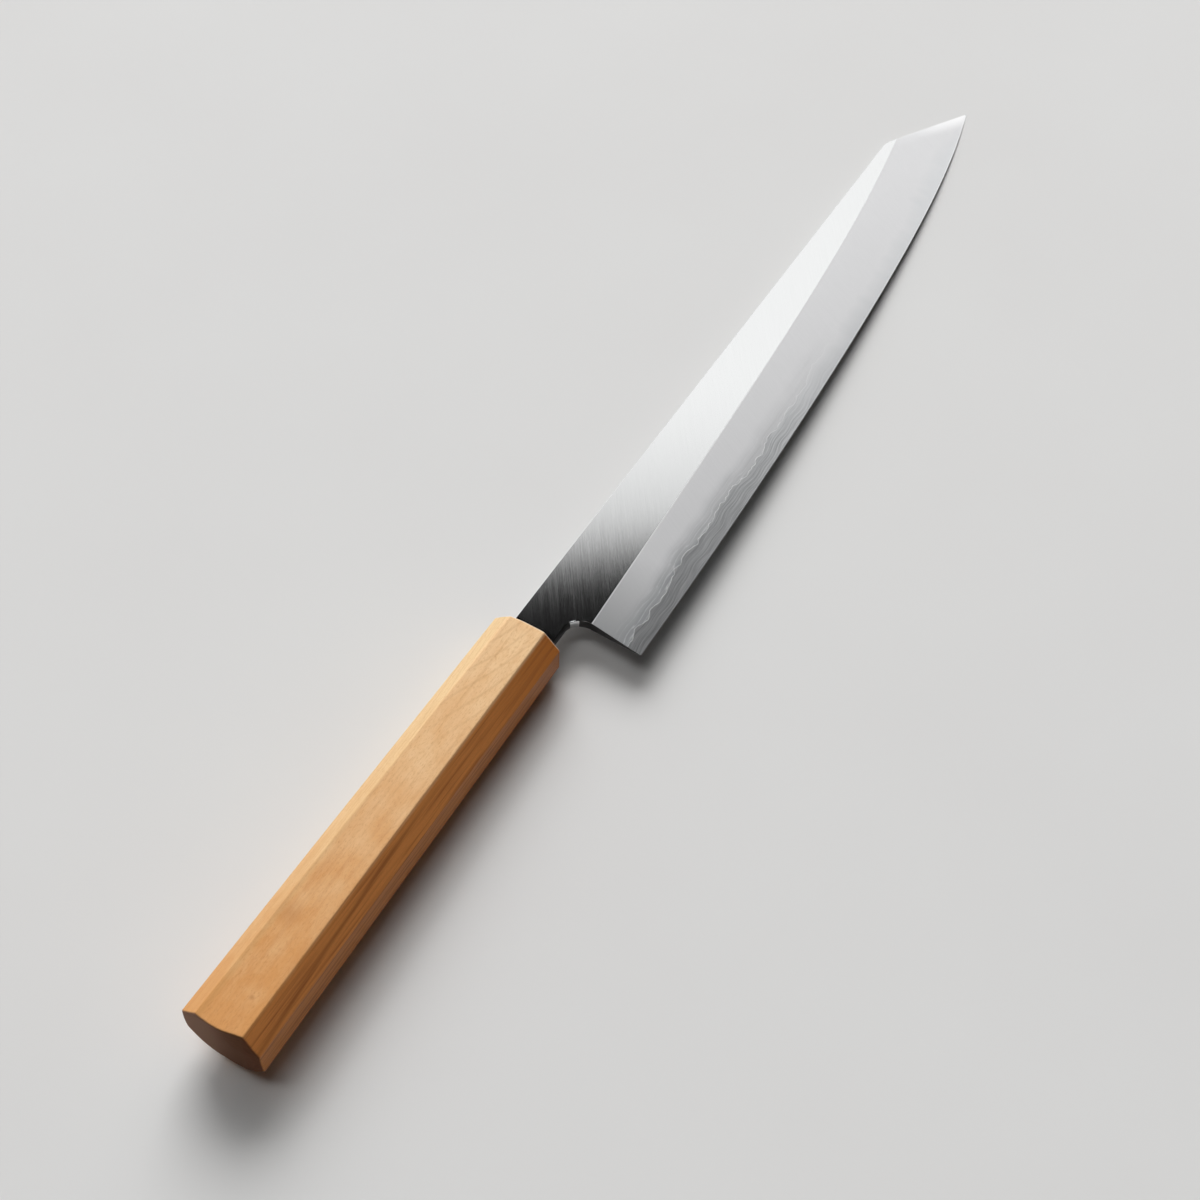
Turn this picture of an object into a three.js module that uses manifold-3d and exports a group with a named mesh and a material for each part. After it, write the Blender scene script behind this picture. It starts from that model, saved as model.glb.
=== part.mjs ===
// A kiritsuke sujihiki: a long slicing knife with a clipped tip, a blade forged from three layers and a plain
// octagonal handle. It lies on its left face, as it rests on a table. Millimetres, +Z up.
//
// Until it is laid down at the end, the knife has its own axes: X runs along the handle from its front face (x = 0)
// to the tip, Y from the cutting edge to the spine, and Z out of the right face.
import * as THREE from "three";
import { mergeVertices } from "three/addons/utils/BufferGeometryUtils.js";
import Module from "manifold-3d";

const wasm = await Module();
wasm.setup();
const { lerp } = THREE.MathUtils;

// Handle: a tapered octagon, wider at the butt than at the blade.
const handleLength = 150;
const handleButt = { width: 25.2, height: 20.8 };
const handleFront = { width: 22.5, height: 19.2 };
const cornerFacetLeg = 5.4;
const arrisEase = 0.5;
const buttRound = 1.8;
const frontRound = 0.6;
const roundSteps = 4;

// Blade in plan: the spine is straight, and a clip runs down from its corner to the tip.
const spineRootY = 7.1;
const clipCorner = { x: 252.2, y: 6.6 };
const clipCornerRun = 3.1;
const clipBulge = 0.8;
const tip = { x: 283.1, y: -11.4 };
const heel = { x: 13.9, y: -31 };
const heelTopX = 14.7;
const neckBottomY = -6.5;
const choilRadius = 5;

// The edge is a shallow parabola that sweeps up late into the tip.
const edgeBellyShare = 0.68;
const edgeSweepPower = 8;

// The ridge between the flat and the bevel is nearly straight, and curves up to the clip.
const ridgeHeel = { x: 14.9, y: -12.8 };
const ridgeTip = { x: 255.5, y: 4 };
const ridgeStraightShare = 0.58;
const ridgeSweepPower = 4.4;

// Blade in section: it thins evenly from the handle to the clip, and from the ridge to the edge.
const rootThickness = 3.6;
const clipThickness = 1.4;
const edgeThickness = 0.1;
const spineEase = 0.35;
const bladeSteps = 44;

// The hard core takes a share of the thickness, and each weld to the cladding wavers along the blade.
const coreShare = 0.33;
const weldWaves = [
  { length: 96, depth: 0.026 },
  { length: 31, depth: 0.021 },
  { length: 11.3, depth: 0.012 },
];
const rightWeldPhase = 3.9;
const leftWeldPhase = 1.2;
const weldGap = 0.03;
const weldStep = 2.8;

// Tang: a tapered bar set in from the neck by a small shoulder all round.
const tangLength = 98;
const tangRoot = { height: 12, thickness: 3.2 };
const tangEnd = { height: 6.2, thickness: 2.2 };
const tangCentreY = 0.3;
const shoulderX = 0.5;
const shoulderRun = 0.2;

// Resin bed between the tang and the socket in the handle.
const bedThickness = 0.9;
const bedDepthPastTang = 4;
const bedRecess = 0.3;
const bondGap = 0.1;

// How far tool solids reach past the piece that they cut.
const overrun = 3;
const mergeDistance = 1e-4;

// A closed solid through rings of equal length, in order of x, each convex and counter-clockwise seen from +X.
function loft(rings) {
  const size = rings[0].length;
  const index = [];
  for (let r = 0; r + 1 < rings.length; r++) {
    for (let k = 0; k < size; k++) {
      const a = r * size + k;
      const b = r * size + ((k + 1) % size);
      index.push(a, b, b + size, a, b + size, a + size);
    }
  }
  const last = (rings.length - 1) * size;
  for (let k = 1; k + 1 < size; k++) {
    index.push(0, k + 1, k);
    index.push(last, last + k, last + k + 1);
  }
  return solidOf(new THREE.BufferGeometry().setFromPoints(rings.flat()).setIndex(index));
}

// A flat shape drawn in X and Y, given a thickness along Z and centred on Z = 0.
function plate(shape, thickness) {
  const geometry = new THREE.ExtrudeGeometry(shape, { depth: thickness, bevelEnabled: false });
  return geometry.translate(0, 0, -thickness / 2);
}

function solidOf(geometry) {
  geometry.deleteAttribute("normal");
  geometry.deleteAttribute("uv");
  const merged = mergeVertices(geometry, mergeDistance);
  const mesh = new wasm.Mesh({
    numProp: 3,
    vertProperties: merged.getAttribute("position").array,
    triVerts: new Uint32Array(merged.index.array),
  });
  return new wasm.Manifold(mesh);
}

function geometryOf(solid) {
  const { vertProperties, triVerts } = solid.getMesh();
  const geometry = new THREE.BufferGeometry();
  geometry.setAttribute("position", new THREE.BufferAttribute(vertProperties, 3));
  geometry.setIndex(new THREE.BufferAttribute(triVerts, 1));
  geometry.computeVertexNormals();
  return geometry;
}

// The handle's outline at x, drawn in by inset: an octagon with a narrow strip in place of each sharp arris.
function handleRing(x, inset) {
  const along = -x / handleLength;
  const halfWidth = lerp(handleFront.width, handleButt.width, along) / 2 - inset;
  const halfHeight = lerp(handleFront.height, handleButt.height, along) / 2 - inset;
  const leg = cornerFacetLeg - inset * (2 - Math.SQRT2);
  const quarter = [
    [halfWidth, halfHeight - leg],
    [halfWidth - leg, halfHeight],
  ];
  const upper = [...quarter, ...quarter.map(([y, z]) => [-y, z]).reverse()];
  const corners = [...upper, ...upper.map(([y, z]) => [-y, -z])].map(([y, z]) => new THREE.Vector3(x, y, z));
  return corners.flatMap((corner, i) => {
    const before = corners.at(i - 1);
    const after = corners[(i + 1) % corners.length];
    return [before, after].map((next) => next.clone().sub(corner).setLength(arrisEase).add(corner));
  });
}

// Rings that round one end of the handle, from its full outline to its end face.
function roundedEnd(endX, inward, radius) {
  return Array.from({ length: roundSteps + 1 }, (_, step) => {
    const angle = (step / roundSteps) * (Math.PI / 2);
    return handleRing(endX + inward * radius * (1 - Math.sin(angle)), radius * (1 - Math.cos(angle)));
  });
}

// The tang's rectangular section at x, grown on every side.
function tangRing(x, grow) {
  const along = -x / tangLength;
  const halfHeight = lerp(tangRoot.height, tangEnd.height, along) / 2 + grow;
  const halfThickness = lerp(tangRoot.thickness, tangEnd.thickness, along) / 2 + grow;
  const corners = [
    [1, -1],
    [1, 1],
    [-1, 1],
    [-1, -1],
  ];
  return corners.map(([y, z]) => new THREE.Vector3(x, tangCentreY + y * halfHeight, z * halfThickness));
}

function handleSolid() {
  const body = loft([
    ...roundedEnd(-handleLength, 1, buttRound).reverse(),
    ...roundedEnd(0, -1, frontRound),
  ]);
  const socket = loft([
    tangRing(-tangLength - bedDepthPastTang, bedThickness),
    tangRing(overrun, bedThickness),
  ]);
  return body.subtract(socket);
}

function tangBedSolid() {
  const filling = loft([
    tangRing(-tangLength - bedDepthPastTang + bondGap, bedThickness - bondGap),
    tangRing(-bedRecess, bedThickness - bondGap),
  ]);
  const tangSpace = loft([tangRing(-tangLength - bondGap, bondGap), tangRing(overrun, bondGap)]);
  return filling.subtract(tangSpace);
}

function spineY(x) {
  return lerp(spineRootY, clipCorner.y, x / clipCorner.x);
}

function edgeY(x) {
  const along = Math.max(0, (x - heel.x) / (tip.x - heel.x));
  const rise = edgeBellyShare * along ** 2 + (1 - edgeBellyShare) * along ** edgeSweepPower;
  return lerp(heel.y, tip.y, rise);
}

function ridgeY(x) {
  const along = Math.max(0, (x - ridgeHeel.x) / (ridgeTip.x - ridgeHeel.x));
  const rise = ridgeStraightShare * along + (1 - ridgeStraightShare) * along ** ridgeSweepPower;
  return lerp(ridgeHeel.y, ridgeTip.y, rise);
}

function halfThickness(x) {
  if (x < shoulderX) return lerp(tangRoot.thickness, tangEnd.thickness, -x / tangLength) / 2;
  return lerp(rootThickness, clipThickness, x / clipCorner.x) / 2;
}

// The blade's section at x: eased spine, parallel flats down to the ridge, and a bevel on each side to the edge.
function bladeRing(x) {
  const half = halfThickness(x);
  const ridge = ridgeY(x);
  const top = Math.max(spineY(x), ridge + overrun);
  const right = [
    [top, half - spineEase],
    [top - spineEase, half],
    [ridge, half],
    [edgeY(x), edgeThickness / 2],
  ];
  const left = right.map(([y, z]) => [y, -z]).reverse();
  return [...right, ...left].map(([y, z]) => new THREE.Vector3(x, y, z));
}

// The blade and tang seen from the right face. The shape runs on below the edge, where the blade's section ends.
function bladeOutline() {
  const tangTop = (x) => tangRing(x, 0)[0].y;
  const tangBottom = (x) => tangRing(x, 0)[2].y;
  const clip = new THREE.Vector2(tip.x - clipCorner.x, tip.y - clipCorner.y);
  const along = clip.clone().normalize();
  const clipStart = along.clone().multiplyScalar(clipCornerRun).add(clipCorner);
  const clipMiddle = clip.clone().multiplyScalar(0.5).add(clipCorner);
  const spineEndX = clipCorner.x - clipCornerRun;
  const belowEdge = heel.y - overrun;
  const outline = new THREE.Shape();
  outline.moveTo(-tangLength, tangBottom(-tangLength));
  outline.lineTo(shoulderX, tangBottom(shoulderX));
  outline.lineTo(shoulderX, neckBottomY);
  outline.absarc(heelTopX - choilRadius, neckBottomY - choilRadius, choilRadius, Math.PI / 2, 0, true);
  outline.lineTo(heel.x, heel.y);
  outline.lineTo(heel.x, belowEdge);
  outline.lineTo(tip.x + ((belowEdge - tip.y) * along.x) / along.y, belowEdge);
  outline.lineTo(tip.x, tip.y);
  outline.quadraticCurveTo(
    clipMiddle.x - along.y * clipBulge,
    clipMiddle.y + along.x * clipBulge,
    clipStart.x,
    clipStart.y,
  );
  outline.quadraticCurveTo(clipCorner.x, clipCorner.y, spineEndX, spineY(spineEndX));
  outline.lineTo(shoulderX, spineY(shoulderX));
  outline.lineTo(shoulderX, tangTop(shoulderX));
  outline.lineTo(-tangLength, tangTop(-tangLength));
  return outline;
}

function bladeSolid() {
  const stations = [-tangLength - overrun, shoulderX - shoulderRun, shoulderX];
  for (let step = 0; step <= bladeSteps; step++) stations.push(lerp(heel.x, tip.x, step / bladeSteps));
  stations.push(tip.x + overrun);
  const outline = solidOf(plate(bladeOutline(), rootThickness + overrun));
  return loft(stations.map(bladeRing)).intersect(outline);
}

// Height of a weld above the blade's middle plane at x. In the tang it runs straight.
function weldHeight(x, phase) {
  const wander = (sum, { length, depth }) => sum + depth * Math.sin((2 * Math.PI * x) / length + phase);
  const share = x < shoulderX ? coreShare : weldWaves.reduce(wander, coreShare);
  return share * halfThickness(x);
}

// All space between two heights that change with x, over the whole height of the blade.
function layer(lower, upper) {
  const stations = [-tangLength - overrun, shoulderX - shoulderRun];
  for (let x = shoulderX; x < tip.x + overrun; x += weldStep) stations.push(x);
  const below = stations.map((x) => new THREE.Vector2(x, lower(x)));
  const above = stations.map((x) => new THREE.Vector2(x, upper(x))).reverse();
  const bladeHeight = 2 * (spineRootY - heel.y);
  return solidOf(plate(new THREE.Shape([...below, ...above]), bladeHeight).rotateX(Math.PI / 2));
}

function bladeLayers() {
  const blade = bladeSolid();
  const right = (x) => weldHeight(x, rightWeldPhase);
  const left = (x) => -weldHeight(x, leftWeldPhase);
  const outside = rootThickness;
  return {
    core: blade.intersect(layer(left, right)),
    right: blade.intersect(layer((x) => right(x) + weldGap, () => outside)),
    left: blade.intersect(layer(() => -outside, (x) => left(x) - weldGap)),
  };
}

function piece(name, solid, finish) {
  const mesh = new THREE.Mesh(geometryOf(solid), new THREE.MeshStandardMaterial(finish));
  mesh.name = name;
  return mesh;
}

const layers = bladeLayers();
const knife = new THREE.Group();
knife.add(
  piece("core_steel", layers.core, { color: 0x8f9396, roughness: 0.35, metalness: 1 }),
  piece("cladding_right", layers.right, { color: 0xc3c5c6, roughness: 0.4, metalness: 1 }),
  piece("cladding_left", layers.left, { color: 0xc3c5c6, roughness: 0.4, metalness: 1 }),
  piece("handle", handleSolid(), { color: 0xc98f58, roughness: 0.55, metalness: 0 }),
  piece("tang_resin", tangBedSolid(), { color: 0x5a4632, roughness: 0.4, metalness: 0 }),
);

// On a table the knife touches with the lower front rim of the handle and with the tip.
knife.rotation.y = Math.atan2((handleFront.height - edgeThickness) / 2, tip.x + frontRound);
const model = new THREE.Group().add(knife);

// The origin is on the table, below the middle of the knife's bounding box.
const box = new THREE.Box3().setFromObject(model, true);
const middle = box.getCenter(new THREE.Vector3());
knife.position.set(-middle.x, -middle.y, -box.min.z);

export default model;
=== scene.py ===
import math
from functools import partial

import bmesh
import bpy
from mathutils import Matrix, Vector, noise


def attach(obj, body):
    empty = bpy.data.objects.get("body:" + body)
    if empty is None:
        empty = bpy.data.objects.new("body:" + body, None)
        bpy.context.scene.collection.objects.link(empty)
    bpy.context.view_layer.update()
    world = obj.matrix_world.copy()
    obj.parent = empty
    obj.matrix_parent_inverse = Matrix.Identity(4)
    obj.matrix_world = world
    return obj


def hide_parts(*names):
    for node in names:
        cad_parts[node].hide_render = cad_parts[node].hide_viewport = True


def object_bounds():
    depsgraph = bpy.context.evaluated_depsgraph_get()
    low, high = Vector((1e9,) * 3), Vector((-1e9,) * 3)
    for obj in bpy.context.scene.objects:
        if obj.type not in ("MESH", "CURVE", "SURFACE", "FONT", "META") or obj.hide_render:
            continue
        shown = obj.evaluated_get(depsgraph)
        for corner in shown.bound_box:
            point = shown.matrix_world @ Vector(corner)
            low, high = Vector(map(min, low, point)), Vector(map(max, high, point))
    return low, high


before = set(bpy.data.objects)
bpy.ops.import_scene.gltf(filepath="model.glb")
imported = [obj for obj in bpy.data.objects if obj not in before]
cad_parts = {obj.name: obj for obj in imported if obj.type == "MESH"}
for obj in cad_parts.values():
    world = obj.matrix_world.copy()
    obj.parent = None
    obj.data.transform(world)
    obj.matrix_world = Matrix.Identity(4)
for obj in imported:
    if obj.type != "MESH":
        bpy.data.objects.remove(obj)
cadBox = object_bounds()
mm = 0.001
scene = bpy.context.scene
print("frame loaded")


def lerp(a, b, share):
    return a + (b - a) * share


def srgb(code):  # "#c98f58" as a linear colour
    channels = [int(code[i : i + 2], 16) / 255 for i in (1, 3, 5)]
    linear = [c / 12.92 if c <= 0.04045 else ((c + 0.055) / 1.055) ** 2.4 for c in channels]
    return (*linear, 1.0)


def addNode(tree, kind, inputs=(), **settings):  # inputs, by name or in order, are sockets or plain values
    node = tree.nodes.new(kind)
    for name, value in settings.items():
        setattr(node, name, value)
    for socket, value in inputs.items() if isinstance(inputs, dict) else enumerate(inputs):
        if isinstance(value, bpy.types.NodeSocket):
            tree.links.new(value, node.inputs[socket])
        else:
            node.inputs[socket].default_value = value
    return node.outputs


def newMaterial(name):  # with what adds its nodes, and the place on the object
    material = bpy.data.materials.new(name)
    material.use_nodes = True
    material.node_tree.nodes.clear()
    add = partial(addNode, material.node_tree)
    return material, add, add("ShaderNodeTexCoord")["Object"]


noiseSpan = {"From Min": 0.3, "From Max": 0.7}  # nearly all of a noise lies in here
softly = {"interpolation_type": "SMOOTHSTEP"}  # a ramp without corners


def grainNoise(add, place, size, detail, roughness=0.5, turn=0):  # noise drawn out to the size of a mark
    scaled = add(
        "ShaderNodeMapping",
        {"Vector": place, "Rotation": (0, 0, math.radians(turn)), "Scale": size},
        vector_type="TEXTURE",
    )[0]
    return add(
        "ShaderNodeTexNoise", {"Vector": scaled, "Scale": 1, "Detail": detail, "Roughness": roughness}
    )["Fac"]


def showSurface(add, inputs):
    shader = add("ShaderNodeBsdfPrincipled", inputs)[0]
    add("ShaderNodeOutputMaterial", {"Surface": shader})


# Sizes in millimetres, in the knife's own axes: X runs to the tip from where the part's handle ends, Y from
# the edge to the spine, Z out of the right face.
handle = {
    "length": 150,
    "butt": (25.2, 20.8),
    "front": (22.5, 19.2),
    "cornerLeg": 5.4,
    "arrisRadius": 0.6,
    "buttRound": 0.5,
    "frontRound": 0.8,
    "roundSteps": 6,
    "buttDome": 0.009,  # how far each end falls away, per square millimetre past its inscribed circle
    "frontDome": 0.001,
    "buttLean": 0.8,
    "frontProud": 0.7,  # how far the front face stands past the zero of X
    "buttWorn": (-7.2, 10.4, 1.0, 8),  # where an arris is worn back most, how deep and how far round
    "frontWorn": (5.85, 9.6, 0.35, 4.5),
    "domeReach": 3,
    "domeSteps": 5,
    "facetCuts": 7,
    "capRings": 5,
    "capShrink": 0.72,  # each ring on the butt face, against the one round it
    "ringNormal": (0.09, 0.3, 0.95),  # the growth rings lie almost level
    "ringWidth": 1.3,
    "pinKnot": (-138.1, -2.7, 10.3),
    "smudge": (-113.1, 3.5, 10.2),
    "heartStreak": (9.7, 0.0256),  # its height on the edge side at the front, and how it rises
}
tang = {
    "length": 98,
    "root": (12, 3.2),
    "end": (6.2, 2.2),
    "centreY": 0.3,
    "bed": 0.9,
    "bedPastEnd": 4,
    "cutAhead": 3,  # how far in front of X zero the bar that cuts the socket starts
}
blade = {
    "spineRootY": 7.1,
    "clipCorner": (253.6, 6.6),
    "clipCornerRun": 2.0,
    "clipBulge": 0.5,
    "clipRoll": 4.5,
    "clipRollRun": 14,
    "clipDrop": 0.2,
    "clipKeep": 0.4,  # least share of the thickness that the roll leaves
    "cornerSteps": 8,
    "clipSteps": 40,
    "clipEnd": 0.997,  # share of the clip at which the last rib stands
    "tip": (284.0, -11.4),
    "heel": (14.05, -31),
    "edgeSweep": ((0.7, 2), (0.3, 8)),  # shares and powers of the edge's rise
    "heelTopX": 15.2,
    "heelLeanRun": 24,
    "neckBottomY": -6.58,
    "neckRound": 0.8,
    "choil": (5.4, 6.6),
    "choilSteps": 24,
    "choilPolished": (7, 15),  # the steps left polished; the rest of the arc is painted near black
    "neckPolished": (6, 7, 8),  # strips of the neck below the flat left polished; the rest is painted near black
    "shoulderX": 0.9,
    "shoulderStep": 0.2,
    "ridgeHeel": (15.2, -13.25),
    "ridgeTip": (255.5, 3.85),
    "ridgeSweep": ((0.58, 1), (0.42, 4.4)),
    "rootThickness": 3.6,
    "clipThickness": 1.4,
    "edgeThickness": 0.1,
    "spineEase": 0.15,
    "easeMiddle": 0.3,  # where the eased corner's middle point lies, as a share of the ease
    "spineLand": 0.7,  # least share of the thickness that stays flat between the eased corners
    "topCore": 0.5,  # most of the thickness that the core takes there
    "coreShare": 0.305,
    "weldWaves": ((96, 0.026), (31, 0.021), (11.3, 0.012)),
    "weldPhases": (3.9, 1.2),
    "weldTooth": (8.1, 0.036),
    "toothPeak": 0.72,  # share of a tooth's length over which it climbs
    "toothWander": (17, 0.8),  # how its length varies, over how far and by how much of itself
    "weldFlutter": ((4.3, 0.05), (1.9, 0.036)),
    "weldShows": (40, 162),  # the weld line and the cloud above it fade out over this stretch
    "ribStep": 0.5,
    "bevelSteps": 16,
}

# The knife lies on the table on the handle's lower front rim and its tip, as far apart as in the part.
rest = {"reach": 283.1, "rimRound": 0.6}
tilt = math.atan2((handle["front"][1] - blade["edgeThickness"]) / 2, rest["reach"] + rest["rimRound"])
tipReach = rest["reach"] * mm
onTable = Vector((
    cadBox[1].x - tipReach * math.cos(tilt),
    cadBox[0].y - blade["heel"][1] * mm,
    tipReach * math.sin(tilt) + blade["edgeThickness"] / 2 * mm * math.cos(tilt),
))
layDown = Matrix.Translation(onTable) @ Matrix.Rotation(tilt, 4, "Y") @ Matrix.Scale(mm, 4)


def rowX(x):  # a place along the knife in the frame's own X
    return (layDown @ Vector((x, 0, 0))).x


def placePiece(mesh, name, node):
    mesh.transform(layDown)
    piece = bpy.data.objects.new(name, mesh)
    scene.collection.objects.link(piece)
    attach(piece, "root")
    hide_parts(node)
    return piece


# Materials


def woodMaterial():
    # Cherry, planed, sanded and oiled: warm mottled tan, paler to the front where a sheen is painted in, deep
    # and streaky below, the edge side painted deeper for its shade
    material, add, place = newMaterial("cherryOiled")
    own = add(
        "ShaderNodeMapping",
        {"Vector": place, "Location": onTable, "Rotation": (0, tilt, 0), "Scale": (mm, mm, mm)},
        vector_type="TEXTURE",
    )[0]
    axes = add("ShaderNodeSeparateXYZ", [own])
    noises = {}
    for name, grain, detail in (
        ("drift", (75, 26, 26), 1),
        ("mottle", (10, 6, 6), 3),
        ("fibre", (34, 0.8, 0.8), 4),
        ("speck", (1.1, 0.35, 0.35), 2),
    ):
        noises[name] = grainNoise(add, own, grain, detail, 0.6)

    # What the figure follows: the side arrises, the growth rings and a heart streak along the edge side
    length = handle["length"]
    arrisY = handle["front"][0] / 2 - handle["cornerLeg"]
    spread = (handle["front"][0] - handle["butt"][0]) / 2 / length
    streakZ, streakRise = handle["heartStreak"]
    ways = ((spread, 1, 0), handle["ringNormal"], (-streakRise, 0, 1))
    sideways, level, height = (
        add("ShaderNodeVectorMath", [own, way], operation="DOT_PRODUCT")["Value"] for way in ways
    )
    wander = add("ShaderNodeMath", [noises["drift"], 4.0, level], operation="MULTIPLY_ADD")[0]
    rings = add("ShaderNodeMath", [wander, handle["ringWidth"]], operation="DIVIDE")[0]
    season = add("ShaderNodeMath", [rings, 0.5], operation="PINGPONG")[0]
    swayed = add("ShaderNodeMath", [noises["drift"], 2.4, height], operation="MULTIPLY_ADD")[0]
    offStreak = add("ShaderNodeMath", [swayed, streakZ + 1.2], operation="SUBTRACT")[0]
    offStreak = add("ShaderNodeMath", [offStreak], operation="ABSOLUTE")[0]
    facing = add("ShaderNodeNewGeometry")["Normal"]
    facingX = add("ShaderNodeSeparateXYZ", [facing])["X"]
    endFace = add("ShaderNodeMath", [facingX], operation="ABSOLUTE")[0]

    # How much of each shows: what it depends on, over which span, and how much at the two ends of that
    shows = {}
    for name, value, span, amounts in (
        # tone: the wood's own tone, made paler towards the front as a painted sheen
        ("tone", axes["X"], (-length, 0), (-0.55, 0.45)),
        # heartAndShade: heartwood on the edge side, painted deeper and redder there to stand in for that
        # side's shade
        ("heartAndShade", sideways, (-arrisY, -arrisY - 0.8), (0, 1)),
        ("sap", sideways, (arrisY, arrisY + 1.5), (0, 1)),
        ("sapAlong", axes["X"], (-length, 0), (0, 0.8)),
        ("frontward", axes["X"], (-45, 0), (0, 1)),
        ("lowSide", axes["Z"], (5, 3.5), (0, 1)),
        ("lateWood", season, (0, 0.13), (0.17, 0)),
        ("runOut", axes["X"], (-58, -30), (0.22, 1)),  # the rings run out at the front
        ("fibres", noises["fibre"], (0.45, 0.72), (0, 1)),
        ("specks", noises["speck"], (0.52, 0.75), (0, 0.4)),
        ("streak", offStreak, (0.15, 0.7), (0.5, 0)),
        ("streakAlong", axes["X"], (-85, -50), (1, 0)),
        ("endGrain", endFace, (0.3, 0.8), (0, 0.92)),
        ("endRings", season, (0, 0.3), (0.3, 0)),
        ("gloss", noises["fibre"], (0.3, 0.7), (0.42, 0.55)),
    ):
        limits = dict(zip(("From Min", "From Max", "To Min", "To Max"), span + amounts))
        shows[name] = add("ShaderNodeMapRange", {"Value": value, **limits})[0]
    heartAndShade, sap = shows["heartAndShade"], shows["sap"]
    toneAndSheenAmount = add("ShaderNodeMath", [noises["mottle"], 1.05, shows["tone"]], operation="MULTIPLY_ADD")[0]
    fibreDepth = add("ShaderNodeMapRange", {"Value": heartAndShade, "To Min": 0.17, "To Max": 0.85})[0]
    streakFade = add("ShaderNodeMath", [shows["streakAlong"], heartAndShade], operation="MULTIPLY")[0]
    sapAmount, lateAmount, fibreAmount, streakAmount = (
        add("ShaderNodeMath", [amount, factor], operation="MULTIPLY")[0]
        for amount, factor in (
            (sap, shows["sapAlong"]),
            (shows["lateWood"], shows["runOut"]),
            (shows["fibres"], fibreDepth),
            (shows["streak"], streakFade),
        )
    )

    # Colours from the ground up
    # Ground: mottled tone, paler to the front with painted sheen
    ground = add(
        "ShaderNodeMix", {0: toneAndSheenAmount, 6: srgb("#d4985b"), 7: srgb("#ebc697")}, data_type="RGBA"
    )[2]
    # Heartwood, painted deeper and redder than the wood on the edge side, as painted shade
    heartWoodShaded = add(
        "ShaderNodeMix", {0: shows["frontward"], 6: srgb("#d38643"), 7: srgb("#c2742f")}, data_type="RGBA"
    )[2]
    heartWoodShaded = add(
        "ShaderNodeMix",
        {0: shows["lowSide"], 6: heartWoodShaded, 7: srgb("#fbf8e1")},
        data_type="RGBA",
        blend_type="MULTIPLY",
    )[2]
    colour = add("ShaderNodeMix", {0: heartAndShade, 6: ground, 7: heartWoodShaded}, data_type="RGBA")[2]
    for amount, code, blend in (
        (sapAmount, "#edcb9c", "MIX"),
        (sap, "#f3f4ee", "MULTIPLY"),
        (lateAmount, "#9c5c28", "MIX"),
        (fibreAmount, "#a05a25", "MIX"),
        (shows["specks"], "#b4763e", "MIX"),
        (streakAmount, "#8a4e1c", "MIX"),
    ):
        colour = add(
            "ShaderNodeMix", {0: amount, 6: colour, 7: srgb(code)}, data_type="RGBA", blend_type=blend
        )[2]

    # A pin knot near the butt and a soft brown smudge
    for spot, reach, depth in (("pinKnot", 1.1, 0.4), ("smudge", 5.5, 0.24)):
        away = add("ShaderNodeVectorMath", [own, handle[spot]], operation="DISTANCE")["Value"]
        ragged = add("ShaderNodeMath", [noises["speck"], reach, away], operation="MULTIPLY_ADD")[0]
        amount = add(
            "ShaderNodeMapRange",
            {"Value": ragged, "From Min": 0.5 * reach, "From Max": 1.5 * reach, "To Min": depth, "To Max": 0},
            **softly,
        )[0]
        colour = add("ShaderNodeMix", {0: amount, 6: colour, 7: srgb("#9a5f2e")}, data_type="RGBA")[2]

    # End grain soaks up more oil and is painted darker towards the edge side as shade; the front rim gets a
    # painted highlight
    # Painted shade across the butt: paler on the spine side, darker towards the edge side
    endGrainPaintedShade = add("ShaderNodeMapRange", {"Value": axes["Y"], "From Min": 8, "From Max": -6}, **softly)[0]
    endGrain = add(
        "ShaderNodeMix", {0: endGrainPaintedShade, 6: srgb("#98735f"), 7: srgb("#5c3013")}, data_type="RGBA"
    )[2]
    endGrain = add(
        "ShaderNodeMix", {0: shows["endRings"], 6: endGrain, 7: srgb("#3c2014")}, data_type="RGBA"
    )[2]
    colour = add("ShaderNodeMix", {0: shows["endGrain"], 6: colour, 7: endGrain}, data_type="RGBA")[2]
    # A painted highlight along the front rim, pale where its rounding would catch the light
    rimHighlight = add("ShaderNodeAttribute", attribute_name="frontRim")["Fac"]
    rimHighlightAmount = add("ShaderNodeMath", [rimHighlight, 0.75], operation="MULTIPLY")[0]
    colour = add("ShaderNodeMix", {0: rimHighlightAmount, 6: colour, 7: srgb("#fbe8cc")}, data_type="RGBA")[2]
    gloss = add("ShaderNodeMix", {0: shows["endGrain"], 2: shows["gloss"], 3: 0.95})[0]
    relief = add("ShaderNodeMath", [noises["speck"], 0.6, noises["fibre"]], operation="MULTIPLY_ADD")[0]
    bump = add("ShaderNodeBump", {"Height": relief, "Strength": 0.2, "Distance": 0.05 * mm})[0]
    showSurface(add, {"Base Color": colour, "Roughness": gloss, "Specular IOR Level": 0.35, "Normal": bump})
    return material


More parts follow.
